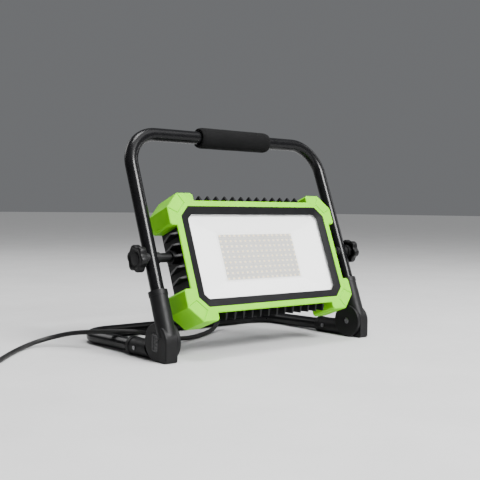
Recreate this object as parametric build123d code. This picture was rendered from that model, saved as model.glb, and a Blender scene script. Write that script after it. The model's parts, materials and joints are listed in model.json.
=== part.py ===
from build123d import *
import math
import os

# Portable LED work light: a finned head with a green frame hangs between the
# legs of a U-shaped tube handle, and a U-shaped tube base folds up behind it.
# X runs across the light, -Y is the side that shines, +Z is up, and the floor
# is z = 0. The origin is under the middle of the light. Millimetres.

# ---------------------------------------------------------------- tubes
TUBE_R = 9.5
TUBE_WALL = 1.5
LEAN = 21.0                 # the handle leans back by this angle
LEG_X = 183.5               # leg axis, either side of the middle
LEG_FORWARD = 14.5          # leg axis in front of the hinge axis, at its height
HANDLE_LENGTH = 302.5       # hinge height to the top bar's axis, along the leg
BEND_R = 50.0
LEG_START = 32.0            # where the leg begins, inside its socket
TUBE_SCREW_R = 1.6          # screws that hold the tubes in their sockets
GRIP_R = 15.5
GRIP_LENGTH = 134.0
GRIP_OFFSET = 10.0          # the foam sits a little right of the middle

# ---------------------------------------------------------------- folding knuckles
KNUCKLE_R = 25.5
HINGE_Z = KNUCKLE_R         # the drum's foot stands on the floor
LEAN_Z = 24.5               # height of the leaning parts' origin
DISC_X = (170.5, 176.0)     # inner disc, on the base
DRUM_X = (176.5, 195.0)     # outer drum, on the handle
DRUM_FOOT_R = 4.0           # square corner of the drum's D shape
BOLT_END_X = 182.0          # the hinge bolt's blind hole in the drum
BUTTON_BACK_X = 182.5       # floor of the lock button's recess
SOCKET_R = 12.5
LEG_SOCKET_TOP = 72.0
BASE_AXIS_Z = SOCKET_R      # base socket rests on the floor
BASE_SOCKET = (27.0, 71.0)  # behind the hinge axis
BASE_TUBE_START = 6.0       # the tube's end, from the socket's start
BASE_DEPTH = 212.0          # hinge axis to the rear cross tube's axis
BASE_BEND_R = 41.0
BASE_SCREWS = (22.0, 26.0)  # along the base socket: outer side, inner side
COLLAR_LENGTH = 7.0         # thicker ring at each socket's mouth
COLLAR_RISE = 0.7
TUBE_SCREW_DROP = 12.0      # the leg's screw, below its socket's mouth
SCREW_SEAT_R = 3.2
FOLD_CLEARANCE = 0.5
HINGE_BOLT_R = 3.0
BOLT_HEAD = (4.6, 2.2)      # radius and height
BOLT_SEAT = (5.0, 2.5)      # radius and depth
BUTTON_SIZE = (14.0, 24.0)  # lock button, depth and height
BUTTON_FACE_X = 195.6       # it stands just proud of the drum's outer face
BUTTON_T = 4.0

# ---------------------------------------------------------------- head
HEAD_MID = 111.5            # head's middle, along the leg
PIVOT = 118.0               # tilt axis, along the leg
FRONT = -25.0               # head's front plane, in front of the leg axis
FRAME_HALF = (147.0, 81.0)
FRAME_DEPTH = 2.5           # the frame's bars between its bumpers are thin
BUMPER_HALF = (158.0, 92.0)
BUMPER_CHAMFER = 21.0
BUMPER_DEPTH = 46.0
BUMPER_ARM = (110.0, 45.0)  # where the bumpers end on the long and short sides
PAD_EDGE = [(157.0, 70.0), (142.3, 62.5), (127.9, 77.0), (137.2, 91.0)]
PAD_GROOVE = 1.7            # side of the square bar that cuts the pad's V groove
BEZEL_HALF = (137.5, 72.5)
BEZEL_CHAMFER = 14.3
BEZEL_DEPTH = 11.0
OPENING_HALF = (125.0, 61.0)
OPENING_CHAMFER = 7.0
BEZEL_SLOPE = 2.0           # the bezel's face falls this far to the glass
LIP = 1.4
GLASS_T = 3.0
GASKET_T = 1.0
GLASS_HALF = (129.5, 65.5)
ARRAY_HALF = (70.5, 33.2)   # outer edges of the LED array
LED_COLUMNS = 16
LED_ROWS = 9
LED_SIZE = (3.5, 2.8, 0.8)
REFLECTOR_DEPTH = 5.6
BOARD_T = 1.6
PAD_T = 0.5
CORE_HALF = (140.5, 75.0)
CORE_CHAMFER = 15.3
CORE_BACK = 50.0
CORE_WALL = 5.0             # rim round the recess in the housing's back
RECESS = 20.0               # floor of that recess
RECESS_CHAMFER = 12.0
FIN_PITCH = 15.6
EDGE_FINS = 13
SIDE_FINS = 5
SIDE_FIN_RISE = 3.2         # the side fins' middle above the head's middle
FIN_ROOT = -8.0             # fin outline, from the frame's edge: root, peak and rear end
FIN_PEAK = (10.0, 8.0)
FIN_END = (-5.0, 48.0)
FIN_ROOT_T = 4.6
FIN_TIP_T = 2.2
BACK_FINS = 17
BACK_FIN_T = 3.0
FRAME_SCREW = (149.5, 60.0) # screws that hold the green frame, from the middle
LUG_HALF = 6.5              # lugs behind the bumpers, for those screws
LUG_T = 4.0
DRIVER_HALF = (66.0, 44.0)
DRIVER_BACK = 72.0
DRIVER_WALL = 2.5
BOARD_BACK = 32.0           # component side of the driver's board
BOSS_R = 10.0
BOSS_X = 153.0
STUD_R = 4.0
STUD_START = 143.0
SPACER_R = 6.5
SADDLE_R = 8.0
KNOB_R = 19.0
KNOB_X = (195.0, 210.0)
KNOB_LOBES = 6
KNOB_VALLEY = (10.0, 3.0)   # radius and depth of the valleys between its lobes
KNOB_RIM = 4.0              # the rim starts this far from the hub's end
KNOB_WALL = 3.0
HUB_R = 10.0
INSERT_R = 6.0
INSERT_LENGTH = 11.0
GLAND_X = 50.0
BOOT_LENGTH = 38.0          # gland and bend relief behind the cover

# ---------------------------------------------------------------- cord and plug
CORD_D = 6.8
COIL_CENTRE = (-436.5, -13.0)
COIL_R = 37.0               # middle of its turns
COIL_WIDTH = 20.6           # three turns side by side
COIL_HEIGHT = 14.4          # two turns high
TIE_WIDTH = 10.0
TIE_T = 1.0
PLUG_R = 18.5
PLUG_START = 66.0           # y of the plug's cord end

SIN = math.sin(math.radians(LEAN))
COS = math.cos(math.radians(LEAN))
FRONT_REACH = LEG_FORWARD - FRONT * COS - (HEAD_MID - BUMPER_HALF[1]) * SIN
REAR_REACH = BASE_DEPTH + TUBE_R
HINGE_Y = (FRONT_REACH - REAR_REACH) / 2
GLASS_FRONT = BEZEL_SLOPE + LIP
GASKET_FRONT = GLASS_FRONT + GLASS_T
RIM = GASKET_FRONT + GASKET_T
BOARD_FRONT = RIM + REFLECTOR_DEPTH
POCKET = BOARD_FRONT + BOARD_T + PAD_T
BOOT_END = DRIVER_BACK + BOOT_LENGTH
SWITCH_PLACE = (-30.0, HEAD_MID)
POCKET_HALF = (GLASS_HALF[0] - 2.0, GLASS_HALF[1] - 2.0)
CORNERS = [(sx, sz) for sx in (-1, 1) for sz in (-1, 1)]
LEANED = Pos(0, HINGE_Y - LEG_FORWARD, LEAN_Z) * Rot(-LEAN, 0, 0)
LEG_SCREW_Z = LEG_SOCKET_TOP - TUBE_SCREW_DROP


# ---------------------------------------------------------------- helpers
def block(x, y, z):
    """Box from three (low, high) pairs."""
    size = [hi - lo for lo, hi in (x, y, z)]
    middle = [(hi + lo) / 2 for lo, hi in (x, y, z)]
    return Pos(*middle) * Box(*size)


def rod_x(x, radius, y, z):
    return Pos((x[0] + x[1]) / 2, y, z) * Rot(0, 90, 0) * Cylinder(radius, x[1] - x[0])


def rod_y(y, radius, x, z):
    return Pos(x, (y[0] + y[1]) / 2, z) * Rot(90, 0, 0) * Cylinder(radius, y[1] - y[0])


def rod_z(z, radius, x, y):
    return Pos(x, y, (z[0] + z[1]) / 2) * Cylinder(radius, z[1] - z[0])


def outline_y(points, y):
    return make_face(Polyline([(x, y, z) for x, z in points], close=True))


def prism_y(points, y):
    """Outline of (x, z) points, extruded from y[0] to y[1]."""
    return extrude(outline_y(points, y[0]), amount=y[1] - y[0], dir=(0, 1, 0))


def prism_x(points, x):
    """Outline of (y, z) points, extruded from x[0] to x[1]."""
    face = make_face(Polyline([(x[0], y, z) for y, z in points], close=True))
    return extrude(face, amount=x[1] - x[0], dir=(1, 0, 0))


def octagon(half, cut):
    """Rectangle about the head's middle with cut corners, as (x, z) points."""
    w, h = half
    signs = [(1, 1), (1, -1), (-1, -1), (-1, 1)]
    points = []
    for sx, sz in signs:
        corner = [(sx * w, HEAD_MID + sz * (h - cut)), (sx * (w - cut), HEAD_MID + sz * h)]
        points += corner if sx * sz < 0 else corner[::-1]
    return points


def depth(*values):
    """Depths behind the head's front plane, as a (low, high) pair of y."""
    return (FRONT + values[0], FRONT + values[1])


def frustum_y(big, small, y):
    """Ruled solid from one outline at y[0] to another at y[1]."""
    return loft([outline_y(big, y[0]), outline_y(small, y[1])], ruled=True)


def pan_screw_y(x, z, y_head, length, radius=2.0):
    """Screw along Y whose head stands behind y_head and whose shank runs forward."""
    head = rod_y((y_head, y_head + 2.2), radius * 1.9, x, z)
    shank = rod_y((y_head - length, y_head), radius, x, z)
    slot = block((x - 3, x + 3), (y_head + 1.2, y_head + 3), (z - 0.5, z + 0.5))
    return head + shank - slot - Pos(x, 0, z) * Rot(0, 90, 0) * Pos(-x, 0, -z) * slot


# ---------------------------------------------------------------- tubes
def bent_tube(points, bend):
    """Hollow U tube along a path with round corners."""
    path = FilletPolyline(*points, radius=bend)
    start = Plane(origin=path @ 0, z_dir=path % 0)
    outer = sweep(start * Circle(TUBE_R), path=path)
    inner = sweep(start * Circle(TUBE_R - TUBE_WALL), path=path)
    return outer - inner


def handle_tube():
    x, low, top = LEG_X, LEG_START, HANDLE_LENGTH
    tube = bent_tube([(-x, 0, low), (-x, 0, top), (x, 0, top), (x, 0, low)], BEND_R)
    tube -= rod_x((-LEG_X - 20, LEG_X + 20), STUD_R + 0.3, 0, PIVOT)
    for side in (-1, 1):
        tube -= rod_y((0, 20), TUBE_SCREW_R, side * LEG_X, LEG_SCREW_Z)
    return tube


def foam_grip():
    ends = (GRIP_OFFSET - GRIP_LENGTH / 2, GRIP_OFFSET + GRIP_LENGTH / 2)
    foam = rod_x(ends, GRIP_R, 0, HANDLE_LENGTH)
    foam = fillet(foam.edges(), 4.0)
    return foam - rod_x((ends[0] - 1, ends[1] + 1), TUBE_R, 0, HANDLE_LENGTH)


def base_slope():
    """Turns about the hinge end of the base so its rear tube rests on the floor."""
    return math.degrees(math.atan((BASE_AXIS_Z - TUBE_R) / (BASE_DEPTH - BASE_SOCKET[0])))


def base_frame():
    """Place of the base tube's plane: its start is in the sockets, +Y to the rear."""
    return Pos(0, HINGE_Y + BASE_SOCKET[0], BASE_AXIS_Z) * Rot(-base_slope(), 0, 0)


def base_tube():
    x = LEG_X
    far = (BASE_DEPTH - BASE_SOCKET[0]) / math.cos(math.radians(base_slope()))
    near = BASE_TUBE_START
    tube = bent_tube([(-x, near, 0), (-x, far, 0), (x, far, 0), (x, near, 0)], BASE_BEND_R)
    for side in (-1, 1):
        outer, inner = BASE_SCREWS
        tube -= rod_x(sorted((side * LEG_X, side * (LEG_X + 20))), TUBE_SCREW_R, outer, 0)
        tube -= rod_x(sorted((side * LEG_X, side * (LEG_X - 20))), TUBE_SCREW_R, inner, 0)
    return base_frame() * tube


# ---------------------------------------------------------------- knuckles
def drum_outline():
    """D shape: round at the top and back, square at the front and bottom."""
    r = KNUCKLE_R
    top = ThreePointArc((0, r), (r * math.sqrt(0.5), r * math.sqrt(0.5)), (r, 0))
    back = ThreePointArc((r, 0), (r * math.sqrt(0.5), -r * math.sqrt(0.5)), (0, -r))
    foot = FilletPolyline((0, -r), (-r, -r), (-r, 0), radius=DRUM_FOOT_R)
    front = ThreePointArc((-r, 0), (-r * math.sqrt(0.5), r * math.sqrt(0.5)), (0, r))
    return make_face([top, back, foot, front])


def drum():
    """Outer drum of the right side, along +X, about the hinge axis."""
    upright = Plane(origin=(DRUM_X[0], HINGE_Y, HINGE_Z), x_dir=(0, 1, 0), z_dir=(1, 0, 0))
    solid = extrude(upright * drum_outline(), amount=DRUM_X[1] - DRUM_X[0], dir=(1, 0, 0))
    rim = solid.faces().sort_by(Axis.X)[-1].edges()
    return fillet(rim, 2.5)


def button_hole(clearance, x):
    y, z = BUTTON_SIZE[0] + 2 * clearance, BUTTON_SIZE[1] + 2 * clearance
    upright = Plane(origin=(x[0], HINGE_Y, HINGE_Z), x_dir=(0, 1, 0), z_dir=(1, 0, 0))
    face = upright * RectangleRounded(y, z, 3.5 + clearance)
    return extrude(face, amount=x[1] - x[0], dir=(1, 0, 0))


def handle_connector():
    """Right handle connector: leg socket and outer drum in one moulding."""
    mouth = (LEG_SOCKET_TOP - COLLAR_LENGTH, LEG_SOCKET_TOP)
    collar = rod_z(mouth, SOCKET_R + COLLAR_RISE, LEG_X, 0)
    socket = rod_z((8, LEG_SOCKET_TOP), SOCKET_R, LEG_X, 0) + collar
    tab = block((LEG_X - 5, LEG_X + 5), (SOCKET_R - 2, SOCKET_R + 1.8),
                (LEG_SOCKET_TOP - 20, LEG_SOCKET_TOP - 6))
    body = LEANED * (socket + tab)
    outer = rod_x((DRUM_X[0] - 20, DRUM_X[0]), KNUCKLE_R + FOLD_CLEARANCE, HINGE_Y, HINGE_Z)
    body = drum() + (body - outer)
    body -= LEANED * rod_z((LEG_START, LEG_SOCKET_TOP + 1), TUBE_R, LEG_X, 0)
    body -= LEANED * rod_y((0, 20), TUBE_SCREW_R, LEG_X, LEG_SCREW_Z)
    body -= LEANED * rod_y((SOCKET_R + 1.0, 20), SCREW_SEAT_R, LEG_X, LEG_SCREW_Z)
    body -= button_hole(0.3, (BUTTON_BACK_X, DRUM_X[1] + 1))
    body -= rod_x((DRUM_X[0] - 1, BUTTON_BACK_X + 1), HINGE_BOLT_R + 0.05, HINGE_Y, HINGE_Z)
    return body


def lock_button():
    button = button_hole(0, (BUTTON_FACE_X - BUTTON_T, BUTTON_FACE_X))
    button = fillet(button.faces().sort_by(Axis.X)[-1].edges(), 1.0)
    return button


def lock_spring():
    """Closed sleeve of the small spring behind the button."""
    x = (BUTTON_BACK_X, BUTTON_FACE_X - BUTTON_T)
    return rod_x(x, 4.5, HINGE_Y, HINGE_Z) - rod_x(x, 3.3, HINGE_Y, HINGE_Z)


def base_connector():
    """Right base connector: inner disc that runs into the low tube socket."""
    disc = rod_x(DISC_X, KNUCKLE_R, HINGE_Y, HINGE_Z)
    disc = fillet(disc.faces().sort_by(Axis.X)[0].edges(), 1.5)
    length = BASE_SOCKET[1] - BASE_SOCKET[0]
    socket = rod_y((-BASE_SOCKET[0] + HINGE_BOLT_R + 3, length), SOCKET_R, LEG_X, 0)
    socket += rod_y((length - COLLAR_LENGTH, length), SOCKET_R + COLLAR_RISE, LEG_X, 0)
    socket = base_frame() * socket
    socket -= rod_x((DISC_X[1], 220), KNUCKLE_R + FOLD_CLEARANCE, HINGE_Y, HINGE_Z)
    body = disc + socket
    body -= block((150, 230), (HINGE_Y - 50, HINGE_Y + 100), (-10, 0))
    body -= base_frame() * rod_y((BASE_TUBE_START, length + 5), TUBE_R, LEG_X, 0)
    for side, y in zip((1, -1), BASE_SCREWS):
        hole = rod_x(sorted((LEG_X, LEG_X + side * 20)), TUBE_SCREW_R, y, 0)
        seat = sorted((LEG_X + side * (SOCKET_R - 1.0), LEG_X + side * 20))
        body -= base_frame() * (hole + rod_x(seat, SCREW_SEAT_R, y, 0))
    body -= rod_x((DISC_X[0] - 1, DISC_X[1] + 1), HINGE_BOLT_R, HINGE_Y, HINGE_Z)
    body -= rod_x((DISC_X[0] - 1, DISC_X[0] + BOLT_SEAT[1]), BOLT_SEAT[0], HINGE_Y, HINGE_Z)
    return body


def hinge_bolt():
    """Right hinge bolt: its socket head sits in the disc's inner face."""
    seat = DISC_X[0] + BOLT_SEAT[1]
    head = rod_x((seat - BOLT_HEAD[1], seat), BOLT_HEAD[0], HINGE_Y, HINGE_Z)
    head = fillet(head.faces().sort_by(Axis.X)[0].edges(), 1.0)
    shank = rod_x((seat, BOLT_END_X - 0.5), HINGE_BOLT_R, HINGE_Y, HINGE_Z)
    hexagon = Plane(origin=(DISC_X[0], HINGE_Y, HINGE_Z), z_dir=(1, 0, 0)) * RegularPolygon(2.2, 6)
    return head + shank - extrude(hexagon, amount=1.5, dir=(1, 0, 0))


def handle_screw():
    """Screw in the tab at the back of the right leg socket."""
    z = LEG_SCREW_Z
    head = rod_y((SOCKET_R + 1.0, SOCKET_R + 3.0), 3.0, LEG_X, z)
    shank = rod_y((TUBE_R - TUBE_WALL, SOCKET_R + 1.0), TUBE_SCREW_R, LEG_X, z)
    slot = block((LEG_X - 0.4, LEG_X + 0.4), (SOCKET_R + 2.2, SOCKET_R + 4), (z - 2.2, z + 2.2))
    return LEANED * (head + shank - slot)


def base_screws():
    """Screws of the right base socket: one in its outer side, one in its inner side."""
    screws = []
    for side, y in zip((1, -1), BASE_SCREWS):
        seat, wall = LEG_X + side * (SOCKET_R - 1.0), LEG_X + side * (TUBE_R - TUBE_WALL)
        head = rod_x(sorted((seat, seat + side * 2.0)), 3.0, y, 0)
        shank = rod_x(sorted((wall, seat)), TUBE_SCREW_R, y, 0)
        slot_x = sorted((seat + side * 1.2, seat + side * 3.0))
        slot = block(slot_x, (y - 2.2, y + 2.2), (-0.4, 0.4))
        screws.append(base_frame() * (head + shank - slot))
    return screws


# ---------------------------------------------------------------- head
def front_frame():
    """Thin frame round the bezel with a deep bumper at each corner."""
    frame = prism_y(octagon(FRAME_HALF, 2.0), depth(0, FRAME_DEPTH))
    inner_w, inner_h = CORE_HALF[0] + 0.5, CORE_HALF[1] + 0.5
    cut = BEZEL_CHAMFER
    w, h = BUMPER_HALF
    c = BUMPER_CHAMFER
    arm_x, arm_z = BUMPER_ARM
    corner = [(arm_x, inner_h), (arm_x, h - 3), (arm_x + 3, h), (w - c, h), (w, h - c),
              (w, arm_z + 3), (w - 3, arm_z), (inner_w, arm_z),
              (inner_w, inner_h - cut), (inner_w - cut, inner_h)]
    for sx, sz in CORNERS:
        points = [(sx * a, HEAD_MID + sz * b) for a, b in corner]
        frame += prism_y(points, depth(0, BUMPER_DEPTH))
    frame -= prism_y(octagon(BEZEL_HALF, BEZEL_CHAMFER), depth(-1, FRAME_DEPTH + 1))
    front = frame.faces().sort_by(Axis.Y)[0]
    frame = chamfer(front.outer_wire().edges(), 1.0)
    for sx, sz in CORNERS:
        frame -= pad_groove(sx, sz)
    for x, z in frame_screw_places():
        frame -= rod_y(depth(BUMPER_DEPTH - 20, BUMPER_DEPTH + 1), 2.0, x, z)
    return frame


def pad_groove(sx, sz):
    """Narrow V groove that sets off the pad on a bumper's chamfer."""
    grooves = []
    for (x0, z0), (x1, z1) in zip(PAD_EDGE, PAD_EDGE[1:]):
        length = math.hypot(x1 - x0, z1 - z0)
        angle = math.degrees(math.atan2(z1 - z0, x1 - x0))
        bar = Pos((x0 + x1) / 2, 0, (z0 + z1) / 2) * Rot(0, -angle, 0) * Rot(45, 0, 0)
        grooves.append(bar * Box(length + 1.2, PAD_GROOVE, PAD_GROOVE))
    groove = grooves[0] + grooves[1] + grooves[2]
    if sx < 0:
        groove = mirror(groove, about=Plane.YZ)
    if sz < 0:
        groove = mirror(groove, about=Plane.XY)
    return Pos(0, FRONT, HEAD_MID) * groove


def frame_screw_places():
    x, z = FRAME_SCREW
    return [(sx * x, HEAD_MID + sz * z) for sx, sz in CORNERS]


def frame_screws():
    y_head = FRONT + BUMPER_DEPTH + LUG_T
    return [pan_screw_y(x, z, y_head, LUG_T + 18) for x, z in frame_screw_places()]


def bezel():
    ring = prism_y(octagon(BEZEL_HALF, BEZEL_CHAMFER), depth(0, BEZEL_DEPTH))
    slope = frustum_y(octagon((BEZEL_HALF[0] - 0.8, BEZEL_HALF[1] - 0.8), BEZEL_CHAMFER - 0.4),
                      octagon(OPENING_HALF, OPENING_CHAMFER), depth(0, BEZEL_SLOPE))
    hole = prism_y(octagon(OPENING_HALF, OPENING_CHAMFER), depth(-1, BEZEL_DEPTH + 1))
    seat = prism_y(octagon((GLASS_HALF[0] + 0.5, GLASS_HALF[1] + 0.5), 9.0),
                   depth(BEZEL_SLOPE + LIP, BEZEL_DEPTH + 1))
    return ring - slope - hole - seat


def lens_glass():
    return prism_y(octagon(GLASS_HALF, 8.5), depth(GLASS_FRONT, GASKET_FRONT))


def lens_gasket():
    outer = prism_y(octagon(GLASS_HALF, 8.5), depth(GASKET_FRONT, RIM))
    inner_half = (OPENING_HALF[0] - 0.5, OPENING_HALF[1] - 0.5)
    return outer - prism_y(octagon(inner_half, OPENING_CHAMFER), depth(GASKET_FRONT - 1, RIM + 1))


def reflector():
    """White tray: flat rim under the gasket, then a shallow funnel to the LEDs."""
    tray = prism_y(octagon(POCKET_HALF, OPENING_CHAMFER), depth(RIM, BOARD_FRONT))
    mouth = (OPENING_HALF[0] - 2.0, OPENING_HALF[1] - 2.0)
    inner = (ARRAY_HALF[0] + 4.0, ARRAY_HALF[1] + 3.5)
    funnel = frustum_y(octagon(mouth, OPENING_CHAMFER), octagon(inner, 2.0),
                       depth(RIM, BOARD_FRONT))
    hole = prism_y(octagon(inner, 2.0), depth(RIM - 1, BOARD_FRONT + 1))
    return tray - funnel - hole


def led_board():
    half = (ARRAY_HALF[0] + 14.0, ARRAY_HALF[1] + 12.0)
    return prism_y(octagon(half, 3.0), depth(BOARD_FRONT, BOARD_FRONT + BOARD_T))


def thermal_pad():
    half = (ARRAY_HALF[0] + 10.0, ARRAY_HALF[1] + 8.0)
    return prism_y(octagon(half, 3.0), depth(BOARD_FRONT + BOARD_T, POCKET))


def led_places():
    """Middle of each LED, as (x, z)."""
    step_x = (2 * ARRAY_HALF[0] - LED_SIZE[0]) / (LED_COLUMNS - 1)
    step_z = (2 * ARRAY_HALF[1] - LED_SIZE[1]) / (LED_ROWS - 1)
    first_x = -(LED_COLUMNS - 1) / 2 * step_x
    first_z = HEAD_MID - (LED_ROWS - 1) / 2 * step_z
    return [(first_x + i * step_x, first_z + j * step_z)
            for j in range(LED_ROWS) for i in range(LED_COLUMNS)]


def led_chips():
    w, h, t = LED_SIZE
    y = depth(BOARD_FRONT - t, BOARD_FRONT)
    return [block((x - w / 2, x + w / 2), y, (z - h / 2, z + h / 2)) for x, z in led_places()]


def fin(edge):
    """Fin in its own plane: X outward from the head's middle, Y depth, Z thickness."""
    peak, end = (edge + FIN_PEAK[0], FIN_PEAK[1]), (edge + FIN_END[0], FIN_END[1])
    root = edge + FIN_ROOT
    side = [(root, FRAME_DEPTH), (edge - 0.5, FRAME_DEPTH), peak, end, (root, end[1])]
    outline = make_face(Polyline([(x, FRONT + y, 0) for x, y in side], close=True))
    plate = extrude(outline, amount=FIN_ROOT_T / 2, both=True)
    thick, thin = FIN_ROOT_T / 2, FIN_TIP_T / 2
    taper = [(root, -thick), (peak[0], -thin), (peak[0], thin), (root, thick)]
    return plate & prism_y(taper, depth(0, CORE_BACK))


def outer_fins():
    fins = []
    for k in range(EDGE_FINS):
        x = (k - (EDGE_FINS - 1) / 2) * FIN_PITCH
        fins += [Pos(x, 0, HEAD_MID) * Rot(0, turn, 0) * fin(FRAME_HALF[1]) for turn in (-90, 90)]
    for k in range(SIDE_FINS):
        z = HEAD_MID + SIDE_FIN_RISE + (k - (SIDE_FINS - 1) / 2) * FIN_PITCH
        fins += [Pos(0, 0, z) * Rot(0, turn, 0) * fin(FRAME_HALF[0]) for turn in (0, 180)]
    return fins


def back_fins():
    """Upright fins on the recess's floor, shorter at its cut corners."""
    fins = []
    inside = CORE_HALF[0] - CORE_WALL - RECESS_CHAMFER
    for k in range(BACK_FINS):
        x = (k - (BACK_FINS - 1) / 2) * FIN_PITCH
        half = CORE_HALF[1] - 1 if abs(x) < inside else CORE_HALF[1] - RECESS_CHAMFER
        fins.append(block((x - BACK_FIN_T / 2, x + BACK_FIN_T / 2),
                          depth(RECESS - 1, CORE_BACK - 1), (HEAD_MID - half, HEAD_MID + half)))
    return fins


def frame_lug(sx, sz):
    """Lug behind a bumper, with the hole for its screw."""
    x, z = sx * FRAME_SCREW[0], HEAD_MID + sz * FRAME_SCREW[1]
    y = depth(BUMPER_DEPTH, BUMPER_DEPTH + LUG_T)
    inner, outer = CORE_HALF[0] - CORE_WALL + 1, FRAME_SCREW[0] + LUG_HALF
    ear = block(sorted((sx * inner, sx * outer)), y, (z - LUG_HALF, z + LUG_HALF))
    ear = chamfer(ear.edges().filter_by(Axis.Y), 2.0)
    return ear - rod_y((y[0] - 1, y[1] + 1), 2.0, x, z)


def heat_sink_housing():
    """Die-cast body: seat for the bezel, lamp pocket, fins, pivot bosses and lugs."""
    body = prism_y(octagon(CORE_HALF, CORE_CHAMFER), depth(FRAME_DEPTH, CORE_BACK))
    seat_half = (BEZEL_HALF[0] + 0.3, BEZEL_HALF[1] + 0.3)
    body -= prism_y(octagon(seat_half, BEZEL_CHAMFER), depth(FRAME_DEPTH - 1, BEZEL_DEPTH))
    body += prism_y(octagon(GLASS_HALF, 8.5), depth(RIM, BEZEL_DEPTH + 1))
    recess = (CORE_HALF[0] - CORE_WALL, CORE_HALF[1] - CORE_WALL)
    body -= prism_y(octagon(recess, RECESS_CHAMFER), depth(RECESS, CORE_BACK + 1))
    body = body + outer_fins() + back_fins()
    for side in (-1, 1):
        body += rod_x(sorted((side * (CORE_HALF[0] - 4), side * BOSS_X)), BOSS_R, 0, PIVOT)
    w, h = DRIVER_HALF[0] + 3, DRIVER_HALF[1] + 3
    body -= block((-w, w), depth(RECESS, CORE_BACK + 1), (HEAD_MID - h, HEAD_MID + h))
    body -= prism_y(octagon(POCKET_HALF, OPENING_CHAMFER), depth(RIM - 1, POCKET))
    for sx, sz in CORNERS:
        body += frame_lug(sx, sz)
    body -= rod_y(depth(POCKET - 1, RECESS + 1), 5.0, 0, HEAD_MID)
    for side in (-1, 1):
        body -= rod_x(sorted((side * STUD_START, side * (BOSS_X + 1))), STUD_R, 0, PIVOT)
    return body


def driver_box(inset, y):
    w, h = DRIVER_HALF[0] - inset, DRIVER_HALF[1] - inset
    solid = block((-w, w), y, (HEAD_MID - h, HEAD_MID + h))
    return fillet(solid.edges().filter_by(Axis.Y), 7.0 - inset)


def driver_cover_places():
    return [(sx * (DRIVER_HALF[0] - 6), HEAD_MID + sz * (DRIVER_HALF[1] - 6))
            for sx, sz in CORNERS]


def driver_housing():
    shell = driver_box(0, depth(RECESS, DRIVER_BACK - 5))
    shell -= driver_box(DRIVER_WALL, depth(RECESS - 1, DRIVER_BACK))
    for x, z in driver_cover_places():
        post = rod_y(depth(RECESS, DRIVER_BACK - 5), 4.5, x, z)
        shell += post - rod_y(depth(DRIVER_BACK - 17, DRIVER_BACK), 1.7, x, z)
    return shell


def driver_gasket():
    y = depth(DRIVER_BACK - 5, DRIVER_BACK - 4)
    ring = driver_box(0, y) - driver_box(DRIVER_WALL, depth(DRIVER_BACK - 6, DRIVER_BACK))
    return ring


def driver_cover():
    cover = driver_box(0, depth(DRIVER_BACK - 4, DRIVER_BACK))
    back = cover.faces().sort_by(Axis.Y)[-1]
    cover = fillet(back.edges(), 1.8)
    for x, z in driver_cover_places():
        cover -= rod_y(depth(DRIVER_BACK - 6, DRIVER_BACK + 1), 1.7, x, z)
        cover -= rod_y(depth(DRIVER_BACK - 1.4, DRIVER_BACK + 1), 3.6, x, z)
    cover -= rod_y(depth(DRIVER_BACK - 6, DRIVER_BACK + 1), 6.0, GLAND_X, PIVOT)
    x, z = SWITCH_PLACE
    cover -= block((x - 6.5, x + 6.5), depth(DRIVER_BACK - 6, DRIVER_BACK + 1),
                   (z - 9.5, z + 9.5))
    return cover


def driver_cover_screws():
    y_head = FRONT + DRIVER_BACK - 1.4
    return [pan_screw_y(x, z, y_head, 14, radius=1.7) for x, z in driver_cover_places()]


def driver_board():
    return block((-52, 50), depth(BOARD_BACK - BOARD_T, BOARD_BACK),
                 (HEAD_MID - 34, HEAD_MID + 34))


def driver_parts():
    """Transformer, capacitors and choke standing on the driver board."""
    y0 = FRONT + BOARD_BACK
    transformer = block((-44, -20), (y0, y0 + 14), (HEAD_MID - 28, HEAD_MID - 2))
    choke = rod_y((y0, y0 + 10), 9.0, 26, HEAD_MID - 20)
    capacitors = [rod_y((y0, y0 + 13), 5.0, x, HEAD_MID + 20) for x in (-40, -26)]
    return [transformer, choke] + capacitors


def switch_body():
    """Panel switch: frame on the cover and a body behind it."""
    x, z = SWITCH_PLACE
    flange = block((x - 8.5, x + 8.5), depth(DRIVER_BACK, DRIVER_BACK + 2), (z - 12, z + 12))
    body = block((x - 6.4, x + 6.4), depth(DRIVER_BACK - 9, DRIVER_BACK), (z - 9.4, z + 9.4))
    well = block((x - 5, x + 5), depth(DRIVER_BACK - 4, DRIVER_BACK + 3), (z - 8.5, z + 8.5))
    return flange + body - well


def switch_rocker():
    """Rocker with two faces that meet over its pivot."""
    x, z = SWITCH_PLACE
    y = FRONT + DRIVER_BACK
    side = [(y - 2.0, z - 5.0), (y + 1.2, z - 8.0), (y + 2.6, z), (y + 5.0, z + 7.6),
            (y - 2.0, z + 5.0)]
    return prism_x(side, (x - 4.7, x + 4.7))


def cable_gland():
    """Gland body through the cover, with a hexagon outside."""
    y0 = FRONT + DRIVER_BACK
    hexagon = Plane(origin=(GLAND_X, y0, PIVOT), z_dir=(0, 1, 0)) * RegularPolygon(10.0, 6)
    body = extrude(hexagon, amount=5.0, dir=(0, 1, 0))
    body += rod_y((y0 - 8, y0), 6.0, GLAND_X, PIVOT)
    body += rod_y((y0 + 5, y0 + 6), 7.5, GLAND_X, PIVOT)
    return body - rod_y((y0 - 9, y0 + 7), CORD_D / 2 + 0.3, GLAND_X, PIVOT)


def gland_nut():
    """Domed outer nut of the gland."""
    y0 = FRONT + DRIVER_BACK + 6
    nut = rod_y((y0, y0 + 10), 9.0, GLAND_X, PIVOT)
    nut = fillet(nut.faces().sort_by(Axis.Y)[-1].edges(), 3.0)
    return nut - rod_y((y0 - 1, y0 + 11), 4.9, GLAND_X, PIVOT)


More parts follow.
